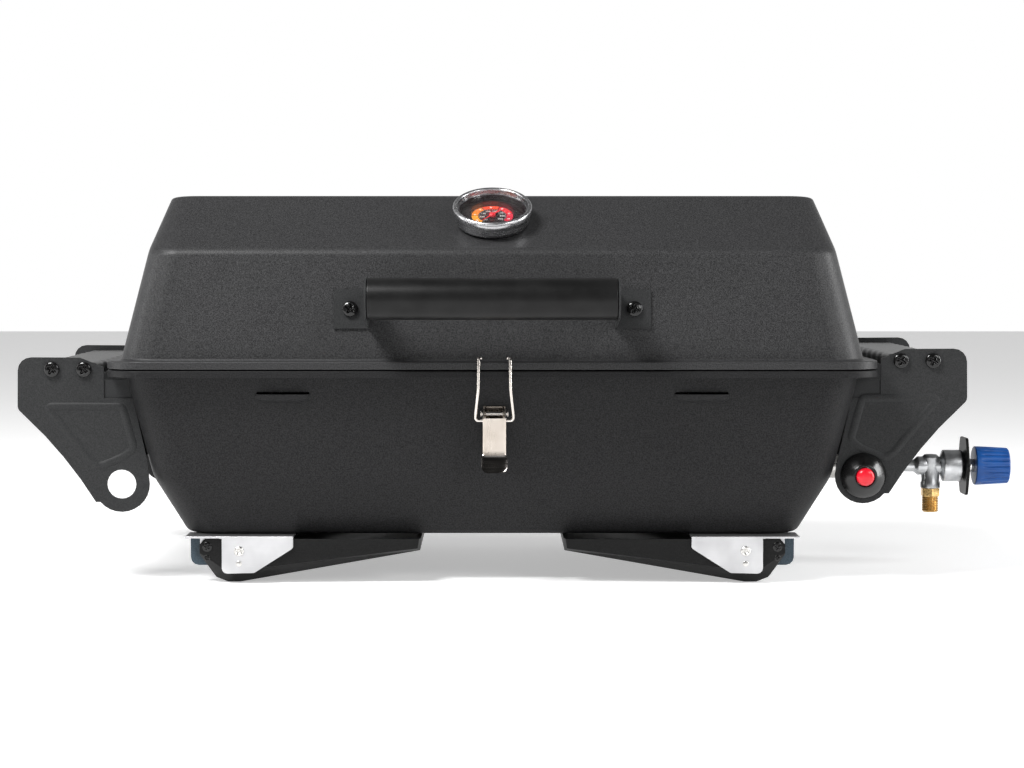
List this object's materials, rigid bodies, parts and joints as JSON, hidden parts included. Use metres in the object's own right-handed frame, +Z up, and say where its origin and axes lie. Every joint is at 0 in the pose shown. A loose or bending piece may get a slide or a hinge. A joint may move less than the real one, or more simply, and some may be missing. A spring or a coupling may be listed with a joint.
{
  "type": "portable tabletop gas grill",
  "caption": "Tabletop gas grill: steel firebox, hinged lid with handle and dial, draw latch, side carrying grips, folding legs and a side gas valve.",
  "frame": {"origin": "on the table, under the middle of the whole grill's bounding box, at the folded legs' lowest edges", "axes": "+X to the valve side, +Y to the rear hinges, +Z up; the latch and the handle face -Y"},
  "size_m": [0.7694, 0.402, 0.2972],
  "materials": {
    "black_paint": "fine-textured matt heat-resistant paint",
    "bracket_paint": "fine-textured dark grey powder coat",
    "leg_paint": "satin black paint",
    "bare_steel": "lightly brushed stainless steel",
    "nickel_plate": "satin nickel plate",
    "black_oxide": "glossy black",
    "grip_black": "satin moulded plastic",
    "brass": "machined",
    "valve_zinc": "cast zinc alloy",
    "knob_blue": "satin moulded plastic",
    "button_red": "gloss moulded plastic",
    "grate_enamel": "black enamel",
    "dial_print": "printed dial",
    "needle_red": "red paint",
    "glass": "clear",
    "ceramic": "glazed ceramic",
    "cable_black": "smooth sheath",
    "stop_grey": "blue-grey satin"
  },
  "bodies": {
    "grill_base": {"firebox": "black_paint", "cooking_grate": "grate_enamel", "burner_tube": "bare_steel", "heat_plate": "bare_steel", "drip_tray": "bare_steel", "valve_body": "valve_zinc", "gas_inlet": "brass", "valve_flange": "leg_paint", "igniter_housing": "grip_black", "igniter_electrode": "ceramic", "igniter_wire": "cable_black", "latch_base": "nickel_plate", "latch_pin": "nickel_plate", "side_grip_left": "grip_black", "leg_stop_left": "stop_grey", "hinge_leaf_lower_left": "bracket_paint", "hinge_pin_left": "bare_steel", "side_plate_left_front": "bracket_paint", "leg_bracket_left_front": "bare_steel", "leg_pin_left_front": "bare_steel", "grip_screw_left_front_1": "black_oxide", "grip_screw_left_front_2": "black_oxide", "side_plate_left_rear": "bracket_paint", "leg_bracket_left_rear": "bare_steel", "leg_pin_left_rear": "bare_steel", "grip_screw_left_rear_1": "black_oxide", "grip_screw_left_rear_2": "black_oxide", "side_grip_right": "grip_black", "leg_stop_right": "stop_grey", "hinge_leaf_lower_right": "bracket_paint", "hinge_pin_right": "bare_steel", "side_plate_right_front": "bracket_paint", "leg_bracket_right_front": "bare_steel", "leg_pin_right_front": "bare_steel", "grip_screw_right_front_1": "black_oxide", "grip_screw_right_front_2": "black_oxide", "side_plate_right_rear": "bracket_paint", "leg_bracket_right_rear": "bare_steel", "leg_pin_right_rear": "bare_steel", "grip_screw_right_rear_1": "black_oxide", "grip_screw_right_rear_2": "black_oxide"},
    "lid": {"lid": "black_paint", "handle_tube": "grip_black", "handle_bracket_left": "bracket_paint", "handle_bracket_right": "bracket_paint", "handle_screw_left": "black_oxide", "handle_screw_right": "black_oxide", "hinge_leaf_upper_left": "bracket_paint", "hinge_leaf_upper_right": "bracket_paint", "thermometer_case": "bare_steel", "thermometer_dial": "dial_print", "thermometer_glass": "glass", "thermometer_nut": "bare_steel"},
    "needle": {"thermometer_needle": "needle_red"},
    "latch_lever": {"latch_lever": "nickel_plate"},
    "latch_bail": {"latch_bail": "nickel_plate"},
    "knob": {"valve_knob": "knob_blue"},
    "button": {"igniter_button": "button_red"},
    "leg_left": {"leg_left": "leg_paint"},
    "leg_right": {"leg_right": "leg_paint"}
  },
  "joints": [
    {"name": "lid_hinge", "type": "hinge", "parent": "grill_base", "child": "lid", "pos_m": [-0.02877, 0.19655, 0.1615], "axis": [-1, 0, 0], "range_deg": [0, 100]},
    {"name": "needle_turn", "type": "hinge", "parent": "lid", "child": "needle", "pos_m": [-0.02877, -0.09385, 0.2702], "axis": [0, -0.4877, 0.873], "range_deg": [-270, 0]},
    {"name": "latch_lever_turn", "type": "hinge", "parent": "grill_base", "child": "latch_lever", "pos_m": [-0.02727, -0.14145, 0.1295], "axis": [-1, 0, 0], "range_deg": [0, 110]},
    {"name": "latch_bail_turn", "type": "hinge", "parent": "latch_lever", "child": "latch_bail", "pos_m": [-0.02727, -0.14495, 0.1245], "axis": [-1, 0, 0], "range_deg": [-145, 0]},
    {"name": "knob_turn", "type": "hinge", "parent": "grill_base", "child": "knob", "pos_m": [0.37123, 0.01905, 0.0773], "axis": [1, 0, 0], "range_deg": [0, 270]},
    {"name": "button_press", "type": "slide", "parent": "grill_base", "child": "button", "axis": [0, 1, 0], "range_m": [0, 0.004], "stiffness_N_per_m": 300},
    {"name": "leg_left_fold", "type": "hinge", "parent": "grill_base", "child": "leg_left", "pos_m": [-0.24257, 0.01905, 0.0274], "axis": [0, 1, 0], "range_deg": [0, 90]},
    {"name": "leg_right_fold", "type": "hinge", "parent": "grill_base", "child": "leg_right", "pos_m": [0.18503, 0.01905, 0.0274], "axis": [0, -1, 0], "range_deg": [0, 90]}
  ],
  "couplings": [
    {"joint": "latch_bail_turn", "follows": "latch_lever_turn", "ratio": -1.3}
  ]
}
